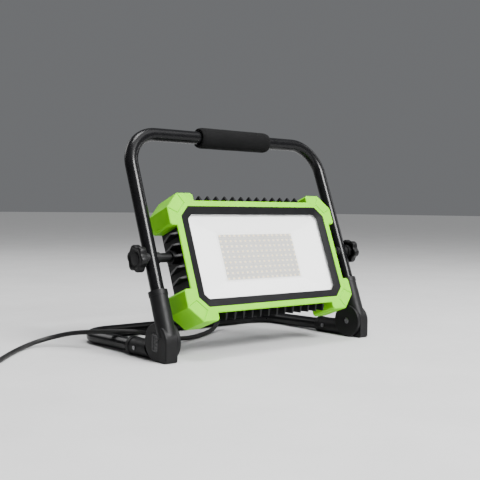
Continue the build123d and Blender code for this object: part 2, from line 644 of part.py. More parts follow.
def cord_boot():
    """Tapered rubber bend relief in the gland, with the cord's end inside."""
    y0 = FRONT + DRIVER_BACK + 6
    y1 = FRONT + BOOT_END
    profile = make_face(Polyline([(GLAND_X, y0, PIVOT), (GLAND_X + 4.9, y0, PIVOT),
                                  (GLAND_X + 4.9, y0 + 10, PIVOT), (GLAND_X + 6.2, y0 + 11, PIVOT),
                                  (GLAND_X + 4.4, y1, PIVOT), (GLAND_X, y1, PIVOT)], close=True))
    return revolve(profile, axis=Axis((GLAND_X, 0, PIVOT), (0, 1, 0)))


# ---------------------------------------------------------------- pivots
def pivot_stud():
    return rod_x((STUD_START, KNOB_X[0] + INSERT_LENGTH - 3), STUD_R, 0, PIVOT)


def pivot_spacer():
    x = (BOSS_X, LEG_X - 12.0)
    spacer = rod_x(x, SPACER_R, 0, PIVOT)
    return spacer - rod_x((x[0] - 1, x[1] + 1), STUD_R, 0, PIVOT)


def leg_saddles():
    """Saddle washers inside and outside both legs, flat away from the tube."""
    pieces = []
    for side in (-1, 1):
        for x in ((LEG_X - 11.7, LEG_X - 4), (LEG_X + 4, LEG_X + 11.2)):
            low, high = sorted((side * x[0], side * x[1]))
            saddle = rod_x((low, high), SADDLE_R, 0, PIVOT)
            saddle -= rod_z((PIVOT - 20, PIVOT + 20), TUBE_R, side * LEG_X, 0)
            saddle -= rod_x((low - 1, high + 1), STUD_R + 0.3, 0, PIVOT)
            pieces.append(saddle)
    return pieces


def knob():
    """Right star knob: lobed rim, hollow towards the leg, round a hub."""
    lobes = Circle(KNOB_R)
    for k in range(KNOB_LOBES):
        angle = math.radians(90 + 360 / KNOB_LOBES * (k + 0.5))
        reach = KNOB_R + KNOB_VALLEY[0] - KNOB_VALLEY[1]
        lobes -= Pos(reach * math.cos(angle), reach * math.sin(angle)) * Circle(KNOB_VALLEY[0])
    start, end = KNOB_X[0] + KNOB_RIM, KNOB_X[1]
    face = Plane(origin=(start, 0, PIVOT), x_dir=(0, 1, 0), z_dir=(1, 0, 0)) * lobes
    star = extrude(face, amount=end - start, dir=(1, 0, 0))
    star = fillet(star.faces().sort_by(Axis.X)[-1].edges(), 2.0)
    hollow_r = KNOB_R - KNOB_VALLEY[1] - KNOB_WALL / 2
    star -= rod_x((start - 1, end - KNOB_WALL), hollow_r, 0, PIVOT)
    star += rod_x((KNOB_X[0], end - KNOB_WALL / 2), HUB_R, 0, PIVOT)
    return star - rod_x((KNOB_X[0] - 1, KNOB_X[0] + INSERT_LENGTH), INSERT_R, 0, PIVOT)


def knob_insert():
    x = (KNOB_X[0], KNOB_X[0] + INSERT_LENGTH)
    insert = rod_x(x, INSERT_R, 0, PIVOT)
    return insert - rod_x((x[0] - 1, x[1] - 1), STUD_R + 0.05, 0, PIVOT)


# ---------------------------------------------------------------- cord and plug
def cord_start():
    """Where the cord leaves the boot's tip, and the way it points."""
    tip = LEANED * Pos(GLAND_X, FRONT + BOOT_END + 0.4, PIVOT)
    return tip.position


# The cord's route after its start: down behind the head, left across the floor,
# over the left base tube, round in a wide bend and on to the coil.
CORD_ROUTE = [
    (50.0, 30.9, 96.9),
    (50.3, 52.0, 85.2),
    (50.6, 68.4, 70.4),
    (50.6, 75.9, 55.0),
    (49.6, 76.9, 39.4),
    (43.0, 73.0, 22.6),
    (30.6, 65.4, 10.8),
    (13.5, 55.0, 4.9),
    (-8.0, 42.5, 3.6),
    (-34.0, 29.0, 3.6),
    (-62.0, 16.5, 4.6),
    (-90.0, 6.5, 8.4),
    (-116.0, 1.5, 13.8),
    (-139.0, 2.0, 19.8),
    (-162.0, 8.5, 25.4),
    (-193.0, 26.0, 25.4),
    (-212.0, 50.0, 23.4),
    (-223.0, 75.0, 20.0),
    (-238.0, 94.0, 14.6),
    (-262.0, 102.0, 8.8),
    (-289.0, 92.0, 4.8),
    (-318.0, 66.0, 3.6),
    (-345.0, 35.0, 3.5),
    (-368.0, 7.0, 3.4),
    (-386.0, -17.0, 3.4),
    (-400.5, -38.0, 3.4),
]

# From the coil's top turn down to the plug, which lies behind the coil.
TAIL_ROUTE = [
    (-480.3, -8.0, 10.3),
    (-481.0, 12.0, 10.9),
    (-480.2, 31.0, 14.2),
    (-481.0, 50.0, 18.5),
    (-481.0, 69.0, 18.5),
]


def cord_radii(points):
    radii = []
    for a, b, c in zip(points, points[1:], points[2:]):
        into, out = Vector(*b) - Vector(*a), Vector(*c) - Vector(*b)
        turn = into.get_angle(out)
        radii.append(0.45 * min(into.length, out.length) / math.tan(math.radians(turn / 2)))
    return radii


def cord_tube(points, name):
    """Round tube along straight runs joined by tangent arcs."""
    radii = cord_radii(points)
    path = FilletPolyline(*points, radius=radii)
    start = Plane(origin=path @ 0, z_dir=path % 0)
    tube = sweep(start * Circle(CORD_D / 2), path=path)
    expected = math.pi * (CORD_D / 2) ** 2 * path.length
    print(name, "length", round(path.length, 1), "volume ratio", round(tube.volume / expected, 4))
    print(name, "radii", [round(r) for r in radii])
    return tube


def power_cord():
    start = cord_start()
    return cord_tube([tuple(start)] + CORD_ROUTE, "power_cord")


def cord_coil():
    """Closed ring of the coil's outer shape, open where the cord runs in and out."""
    half = COIL_WIDTH / 2
    section = Pos(COIL_R, COIL_HEIGHT / 2) * RectangleRounded(2 * half, COIL_HEIGHT, 3.0)
    ring = revolve(Plane.XZ * section, axis=Axis.Z)
    return Pos(*COIL_CENTRE, 0) * ring - coil_tie()


def cord_tail():
    return cord_tube(TAIL_ROUTE, "cord_tail")


def coil_tie():
    """Hook and loop strap round the coil's section, on the side near the light."""
    outer = (COIL_WIDTH + 2 * TIE_T, COIL_HEIGHT + TIE_T)
    low, high = -TIE_WIDTH / 2, TIE_WIDTH / 2
    x0 = COIL_R - outer[0] / 2
    strap = block((x0, x0 + outer[0]), (low, high), (0, outer[1]))
    strap = fillet(strap.edges().filter_by(Axis.Y), 3.0)
    hollow = block((x0 + TIE_T, x0 + outer[0] - TIE_T), (low - 1, high + 1),
                   (TIE_T, COIL_HEIGHT))
    hollow = fillet(hollow.edges().filter_by(Axis.Y), 2.2)
    return Pos(*COIL_CENTRE, 0) * Rot(0, 0, 20) * (strap - hollow)


def plug_frame():
    """Place of the plug: +Z of this frame runs from its cord end to its pins."""
    x, z = TAIL_ROUTE[-1][0], PLUG_R
    return Plane(origin=(x, PLUG_START, z), x_dir=(1, 0, 0), z_dir=(0, 1, 0))


def plug_body():
    """Moulded round plug with a tapered grip, bend relief and earth grooves."""
    outline = [(0, 0), (5.0, 0), (6.0, 14), (9.0, 17), (11.0, 27), (13.5, 33),
               (PLUG_R, 37), (PLUG_R, 57), (0, 57)]
    profile = make_face(Polyline([(x, 0, z) for x, z in outline], close=True))
    body = revolve(profile, axis=Axis.Z)
    body -= Pos(0, 0, 1.0) * Cylinder(CORD_D / 2, 4.0)
    for side in (-1, 1):
        groove = block((-3.4, 3.4), sorted((side * 16.0, side * 20.0)), (41, 58))
        body -= groove
    return plug_frame().location * body


def plug_pins():
    pins = []
    for side in (-1, 1):
        pin = Pos(side * 9.5, 0, 57 + 9.0) * Cylinder(2.4, 18.0)
        pins.append(plug_frame().location * fillet(pin.faces().sort_by(Axis.Z)[-1].edges(), 1.4))
    return pins


def plug_earth_contacts():
    contacts = []
    for side in (-1, 1):
        y = sorted((side * 16.0, side * 17.0))
        contacts.append(plug_frame().location * block((-3.0, 3.0), y, (42, 57)))
    return contacts


def main():
    os.makedirs("parts", exist_ok=True)
    nodes = {
        "handle_tube": LEANED * handle_tube(),
        "foam_grip": LEANED * foam_grip(),
        "base_tube": base_tube(),
        "front_frame": LEANED * front_frame(),
        "bezel": LEANED * bezel(),
        "lens_glass": LEANED * lens_glass(),
        "lens_gasket": LEANED * lens_gasket(),
        "reflector": LEANED * reflector(),
        "led_board": LEANED * led_board(),
        "thermal_pad": LEANED * thermal_pad(),
        "heat_sink_housing": LEANED * heat_sink_housing(),
        "driver_housing": LEANED * driver_housing(),
        "driver_gasket": LEANED * driver_gasket(),
        "driver_cover": LEANED * driver_cover(),
        "driver_board": LEANED * driver_board(),
        "switch_body": LEANED * switch_body(),
        "switch_rocker": LEANED * switch_rocker(),
        "cable_gland": LEANED * cable_gland(),
        "gland_nut": LEANED * gland_nut(),
        "cord_boot": LEANED * cord_boot(),
        "power_cord": power_cord(),
        "cord_coil": cord_coil(),
        "cord_tail": cord_tail(),
        "coil_tie": coil_tie(),
        "plug_body": plug_body(),
    }
    groups = {
        "plug_pins": plug_pins(),
        "plug_earth_contacts": plug_earth_contacts(),
        "led_chips": [LEANED * piece for piece in led_chips()],
        "frame_screws": [LEANED * piece for piece in frame_screws()],
        "driver_cover_screws": [LEANED * piece for piece in driver_cover_screws()],
        "driver_parts": [LEANED * piece for piece in driver_parts()],
        "leg_saddles": [LEANED * piece for piece in leg_saddles()],
    }
    pairs = {
        "handle_connector": handle_connector(),
        "lock_button": lock_button(),
        "lock_spring": lock_spring(),
        "base_connector": base_connector(),
        "knob": LEANED * knob(),
        "knob_insert": LEANED * knob_insert(),
    }
    for name, right in pairs.items():
        nodes[name + "_right"] = right
        nodes[name + "_left"] = mirror(right, about=Plane.YZ)
    twins = {
        "hinge_bolts": hinge_bolt(),
        "handle_screws": handle_screw(),
        "pivot_studs": LEANED * pivot_stud(),
        "pivot_spacers": LEANED * pivot_spacer(),
    }
    for name, right in twins.items():
        groups[name] = [right, mirror(right, about=Plane.YZ)]
    groups["base_screws"] = base_screws() + [mirror(s, about=Plane.YZ) for s in base_screws()]
    for name, pieces in groups.items():
        nodes[name] = Compound(children=list(pieces))
    for name, shape in nodes.items():
        export_step(shape, f"parts/{name}.step")


main()
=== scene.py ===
import bmesh
import bpy
import json
import math
from mathutils import Matrix, Quaternion, Vector, noise

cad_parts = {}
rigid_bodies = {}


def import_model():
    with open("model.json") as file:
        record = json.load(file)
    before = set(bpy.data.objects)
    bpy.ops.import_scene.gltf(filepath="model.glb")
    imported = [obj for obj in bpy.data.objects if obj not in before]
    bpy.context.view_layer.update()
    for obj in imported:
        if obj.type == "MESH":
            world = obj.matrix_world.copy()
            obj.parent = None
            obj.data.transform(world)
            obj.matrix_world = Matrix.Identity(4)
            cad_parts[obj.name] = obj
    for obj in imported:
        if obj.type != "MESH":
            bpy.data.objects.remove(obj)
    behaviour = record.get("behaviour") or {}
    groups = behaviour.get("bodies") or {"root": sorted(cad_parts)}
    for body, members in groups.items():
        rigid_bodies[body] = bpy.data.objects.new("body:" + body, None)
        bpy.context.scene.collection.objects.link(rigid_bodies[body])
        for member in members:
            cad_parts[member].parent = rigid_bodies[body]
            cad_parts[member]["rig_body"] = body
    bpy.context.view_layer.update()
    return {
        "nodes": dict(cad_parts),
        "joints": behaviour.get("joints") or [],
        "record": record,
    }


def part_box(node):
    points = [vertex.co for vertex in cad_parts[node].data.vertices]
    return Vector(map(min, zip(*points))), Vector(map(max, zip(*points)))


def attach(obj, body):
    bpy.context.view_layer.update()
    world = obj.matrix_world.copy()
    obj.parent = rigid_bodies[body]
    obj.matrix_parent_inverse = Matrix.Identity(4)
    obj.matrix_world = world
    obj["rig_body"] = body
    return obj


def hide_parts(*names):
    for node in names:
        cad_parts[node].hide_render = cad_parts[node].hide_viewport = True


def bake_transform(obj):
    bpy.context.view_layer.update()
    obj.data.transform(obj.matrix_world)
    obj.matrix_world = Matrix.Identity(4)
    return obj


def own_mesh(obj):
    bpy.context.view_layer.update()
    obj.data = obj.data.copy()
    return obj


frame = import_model()

# A portable LED work light, in metres. The CAD frame gives places, and the sizes
# below are those that the finished pieces add. The "lean frame" is the tube
# handle's: X across the light, Y behind the legs' axis, Z up along the legs.
MM = 0.001
JOINTS = {joint["name"]: joint for joint in frame["joints"]}
SLOT_OF = {part["node"]: part["material_slot"] for part in frame["record"]["subparts"]}
HINGE = Vector(JOINTS["base_fold"]["pos_m"])
PIVOT = Vector(JOINTS["head_tilt"]["pos_m"])
LEAN = math.radians(21)
PIVOT_ALONG = 118 * MM
LEG_X = 183.5 * MM
TUBE_R = 9.5 * MM
CORD_D = 6.8 * MM


# ---------------------------------------------------------------- camera and lights
CAMERA_PLACE = (-0.7972, -0.9890, 0.2015)
CAMERA_FORWARD = (0.640, 0.767, -0.0375)
CAMERA_ROLL = math.radians(0.58)
LENS, SENSOR_WIDTH = 61.7, 36.0         # in millimetres

LIGHTS_AIM = (0, 0, 0.15)
AREA_LIGHTS = [                         # name, place, size, power in watts
    ("key", (0.25, -2.3, 1.9), (1.0, 0.8), 215),
    ("top", (-0.1, 0.1, 2.4), (0.9, 0.9), 50),
    ("right_strip", (1.8, -0.3, 0.8), (0.3, 1.3), 6),
    ("back", (-0.6, 2.3, 1.3), (1.4, 0.9), 12),
]
SKY_DIRECTION = (-0.25, 0.45, -0.85)
SKY_STRENGTH = 1.5
SKY_SPREAD = math.radians(50)
WORLD_COLOUR = (0.80, 0.82, 0.85, 1)
WORLD_STRENGTH = 0.20


def make_camera():
    """Eye a little above the light's middle, to its left, with a short telephoto lens."""
    data = bpy.data.cameras.new("camera")
    data.lens = LENS
    data.sensor_width = SENSOR_WIDTH
    data.clip_start = 0.05
    camera = bpy.data.objects.new("camera", data)
    camera.location = CAMERA_PLACE
    roll = Quaternion((0, 0, 1), CAMERA_ROLL)
    camera.rotation_mode = "QUATERNION"
    camera.rotation_quaternion = Vector(CAMERA_FORWARD).to_track_quat("-Z", "Y") @ roll
    bpy.context.scene.collection.objects.link(camera)
    bpy.context.scene.camera = camera


def hang(name, data, place, direction):
    """Adds a light at a place, shining along a direction."""
    light = bpy.data.objects.new(name, data)
    light.location = place
    light.rotation_mode = "QUATERNION"
    light.rotation_quaternion = direction.to_track_quat("-Z", "Y")
    bpy.context.scene.collection.objects.link(light)


def make_lights():
    for name, place, size, power in AREA_LIGHTS:
        data = bpy.data.lights.new(name, "AREA")
        data.shape = "RECTANGLE"
        data.size, data.size_y = size
        data.energy = power
        hang(name, data, place, Vector(LIGHTS_AIM) - Vector(place))
    sky = bpy.data.lights.new("sky", "SUN")
    sky.energy = SKY_STRENGTH
    sky.angle = SKY_SPREAD
    hang("sky", sky, (0, 0, 0), Vector(SKY_DIRECTION))
    world = bpy.data.worlds.new("studio")
    world.use_nodes = True
    background = world.node_tree.nodes["Background"]
    background.inputs["Color"].default_value = WORLD_COLOUR
    background.inputs["Strength"].default_value = WORLD_STRENGTH
    bpy.context.scene.world = world


# ---------------------------------------------------------------- material helpers
# A Mix node repeats its sockets for each type; these are the factor and the colours.
MIX_FACTOR, MIX_FIRST, MIX_SECOND, MIX_RESULT = 0, 6, 7, 2
NOISE_SPAN = (0.3, 0.7)                 # where most of a noise texture's values lie
# Textures of moulded surfaces, in cells per metre
MOTTLE_SCALE, WEAR_AND_HIGHLIGHT_SCALE, GLOSS_SCALE, WAVE_SCALE = 42, 260, 95, 60


def shader_of(material):
    return material.node_tree.nodes["Principled BSDF"]


def new_material(name, **sockets):
    """Material whose shader has these constant values, by socket name."""
    material = bpy.data.materials.new(name)
    material.use_nodes = True
    for socket, value in sockets.items():
        shader_of(material).inputs[socket.replace("_", " ")].default_value = value
    return material


def node(material, kind, **values):
    """Adds a node and sets its properties."""
    made = material.node_tree.nodes.new("ShaderNode" + kind)
    for name, value in values.items():
        setattr(made, name, value)
    return made


def link(material, source, target):
    material.node_tree.links.new(source, target)


def noise_of(material, scale, detail=3.0, roughness=0.55, stretch=None):
    """Noise over the piece's own coordinates; scale is in cells per metre."""
    place = node(material, "TexCoord").outputs["Object"]
    if stretch:
        mapping = node(material, "Mapping")
        mapping.inputs["Scale"].default_value = stretch
        link(material, place, mapping.inputs["Vector"])
        place = mapping.outputs["Vector"]
    made = node(material, "TexNoise")
    made.inputs["Scale"].default_value = scale
    made.inputs["Detail"].default_value = detail
    made.inputs["Roughness"].default_value = roughness
    link(material, place, made.inputs["Vector"])
    return made.outputs["Fac"]


def cells_of(material, scale):
    """Distance to the nearest cell middle, for foam and hook and loop tape."""
    made = node(material, "TexVoronoi")
    made.inputs["Scale"].default_value = scale
    link(material, node(material, "TexCoord").outputs["Object"], made.inputs["Vector"])
    return made.outputs["Distance"]


def ramp(material, source, stops):
    """Colour ramp with (position, colour) stops."""
    made = node(material, "ValToRGB")
    elements = made.color_ramp.elements
    while len(elements) < len(stops):
        elements.new(0.5)
    for element, (position, colour) in zip(elements, stops):
        element.position = position
        element.color = (*colour, 1)
    link(material, source, made.inputs["Fac"])
    return made.outputs["Color"]


def spread(material, source, low, high):
    """Maps a noise texture's usual values to low to high."""
    made = node(material, "MapRange")
    made.inputs["From Min"].default_value = NOISE_SPAN[0]
    made.inputs["From Max"].default_value = NOISE_SPAN[1]
    made.inputs["To Min"].default_value = low
    made.inputs["To Max"].default_value = high
    link(material, source, made.inputs["Value"])
    return made.outputs["Result"]


def mixed(material, factor, first, second):
    """Colour between first and second by factor; each is a colour or a socket."""
    made = node(material, "Mix", data_type="RGBA")
    for socket, value in ((made.inputs[MIX_FIRST], first), (made.inputs[MIX_SECOND], second)):
        if isinstance(value, tuple):
            socket.default_value = (*value, 1)
        else:
            link(material, value, socket)
    link(material, factor, made.inputs[MIX_FACTOR])
    return made.outputs[MIX_RESULT]


def product(material, first, second):
    """Product of two sockets."""
    made = node(material, "Math", operation="MULTIPLY")
    link(material, first, made.inputs[0])
    link(material, second, made.inputs[1])
    return made.outputs[0]


def bumped(material, layers):
    """Stacks (height, strength, distance) bumps into the shader's normal."""
    below = None
    for height, strength, distance in layers:
        made = node(material, "Bump")
        made.inputs["Strength"].default_value = strength
        made.inputs["Distance"].default_value = distance
        link(material, height, made.inputs["Height"])
        if below:
            link(material, below, made.inputs["Normal"])
        below = made.outputs["Normal"]
    link(material, below, shader_of(material).inputs["Normal"])


def edge_highlight_and_wear_mask(material):
    """Rounded edges of the finished pieces, broken up by noise: where wear and a painted
    highlight go.
    """
    edges = node(material, "Attribute", attribute_name="edge").outputs["Fac"]
    wear_and_highlight = spread(material, noise_of(material, WEAR_AND_HIGHLIGHT_SCALE, 4), 0.25, 0.75)
    return product(material, edges, wear_and_highlight)


def moulded(name, colour, shade, edge, rough, grain, depth, **sockets):
    """Moulded or coated surface: mottled colour, edges lightened by wear and a painted
    highlight, uneven gloss, fine grain.

    colour and shade are the two ends of the mottling, edge is the lighter colour of rounded
    edges, partly wear and partly a painted highlight, rough is a (low, high) pair, and grain is
    in cells per metre.
    """
    material = new_material(name, **sockets)
    shader = shader_of(material)
    mottle = ramp(material, noise_of(material, MOTTLE_SCALE, 5),
                  [(0.32, shade), (0.68, colour)])
    # Rounded edges lightened towards edge: part wear, part painted highlight.
    wear_and_highlight = mixed(material, edge_highlight_and_wear_mask(material), mottle, edge)
    link(material, wear_and_highlight, shader.inputs["Base Color"])
    gloss = spread(material, noise_of(material, GLOSS_SCALE, 6, 0.65), *rough)
    link(material, gloss, shader.inputs["Roughness"])
    bumped(material, [(noise_of(material, grain, 2), 0.5, depth),
                      (noise_of(material, WAVE_SCALE, 3), 0.12, 4 * depth)])
    return material


def metal(name, colour, rough, stretch):
    """Plated or turned metal with fine drawn lines."""
    material = new_material(name, Metallic=1.0)
    shader = shader_of(material)
    lines = noise_of(material, 900, 4, 0.6, stretch)
    darker = tuple(0.72 * c for c in colour)
    link(material, ramp(material, lines, [(0.3, darker), (0.7, colour)]),
         shader.inputs["Base Color"])
    link(material, spread(material, lines, *rough), shader.inputs["Roughness"])
    bumped(material, [(lines, 0.25, 0.00006)])
    return material


def foam_material():
    """Closed-cell foam: fine open pits, soft bloom where hands have rubbed it."""
    material = new_material("foam", Sheen_Weight=0.01, Sheen_Roughness=0.6,
                            Specular_IOR_Level=0.08)
    shader = shader_of(material)
    pits = cells_of(material, 1500)
    colour = ramp(material, pits,
                  [(0.1, (0.0015, 0.0015, 0.0017)), (0.6, (0.004, 0.004, 0.0042))])
    rubbed = spread(material, noise_of(material, 38, 4), 0.0, 0.5)
    link(material, mixed(material, rubbed, colour, (0.006, 0.006, 0.0062)),
         shader.inputs["Base Color"])
    link(material, spread(material, noise_of(material, 300), 0.86, 0.98),
         shader.inputs["Roughness"])
    bumped(material, [(pits, 0.65, 0.00022), (noise_of(material, 620, 5, 0.7), 0.5, 0.0003),
                      (noise_of(material, 80, 3), 0.25, 0.0008)])
    return material


def glass_material():
    """Toughened glass with a light frost: a thin veil that the lamps show through."""
    material = new_material("lens_glass", Alpha=0.07, Specular_IOR_Level=0.4, IOR=1.5,
                            Coat_Weight=0.2, Coat_Roughness=0.04)
    shader = shader_of(material)
    haze = noise_of(material, 26, 5)
    tint = ramp(material, haze, [(0.3, (0.83, 0.85, 0.85)), (0.7, (0.90, 0.91, 0.91))])
    link(material, tint, shader.inputs["Base Color"])
    link(material, spread(material, noise_of(material, 140, 5), 0.16, 0.26),
         shader.inputs["Roughness"])
    bumped(material, [(noise_of(material, 2600, 2), 0.12, 0.00004)])
    return material


def tape_material():
    """Hook and loop tape: woven ribs under a field of loops."""
    material = new_material("tie_fabric", Sheen_Weight=0.6, Specular_IOR_Level=0.2)
    shader = shader_of(material)
    loops = cells_of(material, 2200)
    tint = ramp(material, loops, [(0.1, (0.010, 0.010, 0.011)), (0.6, (0.04, 0.04, 0.042))])
    link(material, tint, shader.inputs["Base Color"])
    link(material, spread(material, noise_of(material, 300), 0.85, 1.0),
         shader.inputs["Roughness"])
    weave = node(material, "TexWave", bands_direction="Y")
    weave.inputs["Scale"].default_value = 260
    link(material, node(material, "TexCoord").outputs["Object"], weave.inputs["Vector"])
    bumped(material, [(weave.outputs["Fac"], 0.5, 0.0003), (loops, 0.7, 0.0004)])
    return material


def rubber_material(name, colour, rough):
    """Rubber or soft PVC: slight bloom and fine drag lines."""
    material = new_material(name, Specular_IOR_Level=0.2)
    shader = shader_of(material)
    bloom = noise_of(material, 55, 6, 0.65)
    paler = tuple(c * 1.9 + 0.004 for c in colour)
    link(material, ramp(material, bloom, [(0.35, colour), (0.75, paler)]),
         shader.inputs["Base Color"])
    link(material, spread(material, noise_of(material, 210, 5), *rough),
         shader.inputs["Roughness"])
    bumped(material, [(noise_of(material, 1500, 3), 0.35, 0.00012),
                      (noise_of(material, 130, 3), 0.2, 0.0003)])
    return material


def board_material(name, colour, shade):
    """Solder mask over copper tracks."""
    material = new_material(name, Coat_Weight=0.3, Coat_Roughness=0.2)
    shader = shader_of(material)
    tracks = node(material, "TexBrick", offset=0.37)
    tracks.inputs["Scale"].default_value = 70
    tracks.inputs["Mortar Size"].default_value = 0.035
    tracks.inputs["Color1"].default_value = (*colour, 1)
    tracks.inputs["Color2"].default_value = (*colour, 1)
    tracks.inputs["Mortar"].default_value = (*shade, 1)
    turned = node(material, "Mapping")
    turned.inputs["Rotation"].default_value = (math.pi / 2 + LEAN, 0, 0)
    link(material, node(material, "TexCoord").outputs["Object"], turned.inputs["Vector"])
    link(material, turned.outputs["Vector"], tracks.inputs["Vector"])
    link(material, tracks.outputs["Color"], shader.inputs["Base Color"])
    link(material, spread(material, noise_of(material, 200), 0.35, 0.5),
         shader.inputs["Roughness"])
    bumped(material, [(tracks.outputs["Fac"], 0.3, 0.0001)])
    return material


def make_materials():
    """One material for each of the record's slots, and led_field, which no slot names."""
    return {
        # The third colour of each moulded finish is that of its rounded edges: partly wear,
        # partly a painted highlight.
        "frame_green": moulded(
            "frame_green", (0.19, 0.62, 0.001), (0.165, 0.56, 0.001), (0.28, 0.76, 0.01),
            (0.42, 0.54), 2400, 0.00009, Specular_IOR_Level=0.10),
        "bezel_grey": moulded(
            "bezel_grey", (0.0048, 0.0049, 0.0054), (0.0036, 0.0037, 0.0041),
            (0.020, 0.020, 0.021), (0.38, 0.52), 2600, 0.00009, Specular_IOR_Level=0.12),
        "heat_sink_black": moulded(
            "heat_sink_black", (0.006, 0.006, 0.0065), (0.004, 0.004, 0.0045),
            (0.05, 0.05, 0.053), (0.40, 0.56), 1500, 0.00014, Specular_IOR_Level=0.15),
        "tube_black": moulded(
            "tube_black", (0.005, 0.005, 0.0055), (0.0035, 0.0035, 0.004), (0.03, 0.03, 0.032),
            (0.22, 0.28), 500, 0.000015, Specular_IOR_Level=0.16),
        "connector_plastic": moulded(
            "connector_plastic", (0.006, 0.006, 0.0063), (0.0042, 0.0042, 0.0045),
            (0.024, 0.024, 0.025), (0.42, 0.56), 1900, 0.00016, Specular_IOR_Level=0.18),
        "button_plastic": moulded(
            "button_plastic", (0.012, 0.012, 0.013), (0.009, 0.009, 0.010), (0.11, 0.11, 0.115),
            (0.34, 0.46), 2200, 0.00010),
        "nylon_black": moulded(
            "nylon_black", (0.005, 0.005, 0.0053), (0.0035, 0.0035, 0.0038), (0.07, 0.07, 0.073),
            (0.36, 0.50), 2000, 0.00014, Specular_IOR_Level=0.18),
        "silicone_white": rubber_material("silicone_white", (0.80, 0.80, 0.79), (0.5, 0.65)),
        "reflector_white": moulded(
            "reflector_white", (0.96, 0.96, 0.955), (0.94, 0.94, 0.935), (0.98, 0.98, 0.975),
            (0.28, 0.40), 1800, 0.00005),
        "foam": foam_material(),
        "glass": glass_material(),
        "tie_fabric": tape_material(),
        "rubber": rubber_material("rubber", (0.008, 0.008, 0.008), (0.55, 0.72)),
        "cord_rubber": rubber_material("cord_rubber", (0.007, 0.007, 0.007), (0.42, 0.58)),
        "board_white": board_material("board_white", (0.88, 0.88, 0.87), (0.82, 0.81, 0.79)),
        "led_field": board_material("led_field", (0.40, 0.395, 0.375), (0.33, 0.32, 0.29)),
        "board_green": board_material("board_green", (0.03, 0.16, 0.06), (0.05, 0.26, 0.09)),
        "led_phosphor": moulded(
            "led_phosphor", (0.92, 0.66, 0.16), (0.88, 0.62, 0.13), (0.95, 0.80, 0.40),
            (0.25, 0.35), 5000, 0.00002),
        "steel": metal("steel", (0.26, 0.26, 0.27), (0.30, 0.45), (1, 6, 1)),
        "brass": metal("brass", (0.72, 0.52, 0.22), (0.2, 0.35), (6, 1, 1)),
        "plug_metal": metal("plug_metal", (0.78, 0.77, 0.73), (0.12, 0.26), (1, 0.15, 1)),
    }


# ---------------------------------------------------------------- mesh helpers
SHARP = math.radians(38)                # shading breaks at edges sharper than this
CREASE = math.radians(28)               # CAD edges sharper than this are rounded
FLAT = math.radians(0.8)                # CAD faces within this of each other are merged
LEANED = (Matrix.Translation(PIVOT - PIVOT_ALONG * Vector((0, math.sin(LEAN), math.cos(LEAN))))
          @ Matrix.Rotation(-LEAN, 4, "X"))
MIRROR = Matrix.Scale(-1, 4, (1, 0, 0))
ALONG_X = Matrix.Rotation(math.pi / 2, 4, "Y")      # turns Z to X
ALONG_Y = Matrix.Rotation(-math.pi / 2, 4, "X")     # turns Z to Y
FORWARD = Matrix.Rotation(math.pi / 2, 4, "X")      # turns Z to -Y


def shift(x=0.0, y=0.0, z=0.0):
    return Matrix.Translation((x, y, z))


def rounded(points, radius, steps, closed=False):
    """Points with each corner turned into an arc of that radius."""
    points = [Vector(p) for p in points]
    made = []
    for i, corner in enumerate(points):
        if not closed and i in (0, len(points) - 1):
            made.append(corner)
            continue
        into, out = points[i - 1] - corner, points[(i + 1) % len(points)] - corner
        half = into.angle(out) / 2
        reach = min(radius / math.tan(half), 0.49 * min(into.length, out.length))
        inward = (into.normalized() + out.normalized()).normalized()
        centre = corner + inward * (reach / math.cos(half))
        first = corner + into.normalized() * reach - centre
        last = corner + out.normalized() * reach - centre
        turn = first.rotation_difference(last)
        axis, angle = turn.to_axis_angle()
        made += [centre + Quaternion(axis, angle * k / steps) @ first for k in range(steps + 1)]
    return made


def loft(bm, rings, closed=True):
    """Skins rings of vertices; closed joins each ring's ends."""
    count = len(rings[0])
    for ring, after in zip(rings, rings[1:]):
        for j in range(count if closed else count - 1):
            k = (j + 1) % count
            bm.faces.new((ring[j], ring[k], after[k], after[j]))


def lathe(bm, profile, place, sides, shape=None):
    """Turns a closed (radius, height) profile about Z; shape may change each radius."""
    rings = []
    for k in range(sides):
        angle = 2 * math.pi * k / sides
        ring = []
        for radius, height in profile:
            r = shape(radius, height, angle) if shape else radius
            point = Vector((r * math.cos(angle), r * math.sin(angle), height))
            ring.append(bm.verts.new(place @ point))
        rings.append(ring)
    loft(bm, rings + rings[:1])


def tube(bm, points, radius, sides):
    """Round tube along points, without twist, closed at both ends."""
    rings, normal = [], None
    last = len(points) - 1
    for i, point in enumerate(points):
        tangent = (points[min(i + 1, last)] - points[max(i - 1, 0)]).normalized()
        normal = normal - tangent * normal.dot(tangent) if normal else tangent.orthogonal()
        normal.normalize()
        side = tangent.cross(normal)
        ring = []
        for k in range(sides):
            angle = 2 * math.pi * k / sides
            offset = normal * math.cos(angle) + side * math.sin(angle)
            ring.append(bm.verts.new(point + offset * radius))
        rings.append(ring)
    loft(bm, rings)
    bm.faces.new(rings[0])
    bm.faces.new(rings[-1])


def prism(bm, outline, low, high, place, bevel=0.0):
    """Outline of (x, y) points from low to high along Z; a bevel rounds its rims."""
    rings = [[bm.verts.new(place @ Vector((x, y, height))) for x, y in outline]
             for height in (low, high)]
    loft(bm, rings)
    caps = [bm.faces.new(ring) for ring in rings]
    if bevel:
        rims = list({edge for cap in caps for edge in cap.edges})
        bmesh.ops.bevel(bm, geom=rims, offset=bevel, segments=2, profile=0.5,
                        affect="EDGES", clamp_overlap=True)


def into_scene(name, bm, materials):
    """Turns a bmesh into an object of the scene, smooth except at its sharp edges."""
    bmesh.ops.remove_doubles(bm, verts=bm.verts, dist=1e-7)
    bmesh.ops.recalc_face_normals(bm, faces=bm.faces)
    mesh = bpy.data.meshes.new(name)
    bm.to_mesh(mesh)
    bm.free()
    mesh.shade_smooth()
    mesh.set_sharp_from_angle(angle=SHARP)
    for material in materials:
        mesh.materials.append(material)
    piece = bpy.data.objects.new(name, mesh)
    bpy.context.scene.collection.objects.link(piece)
    return piece


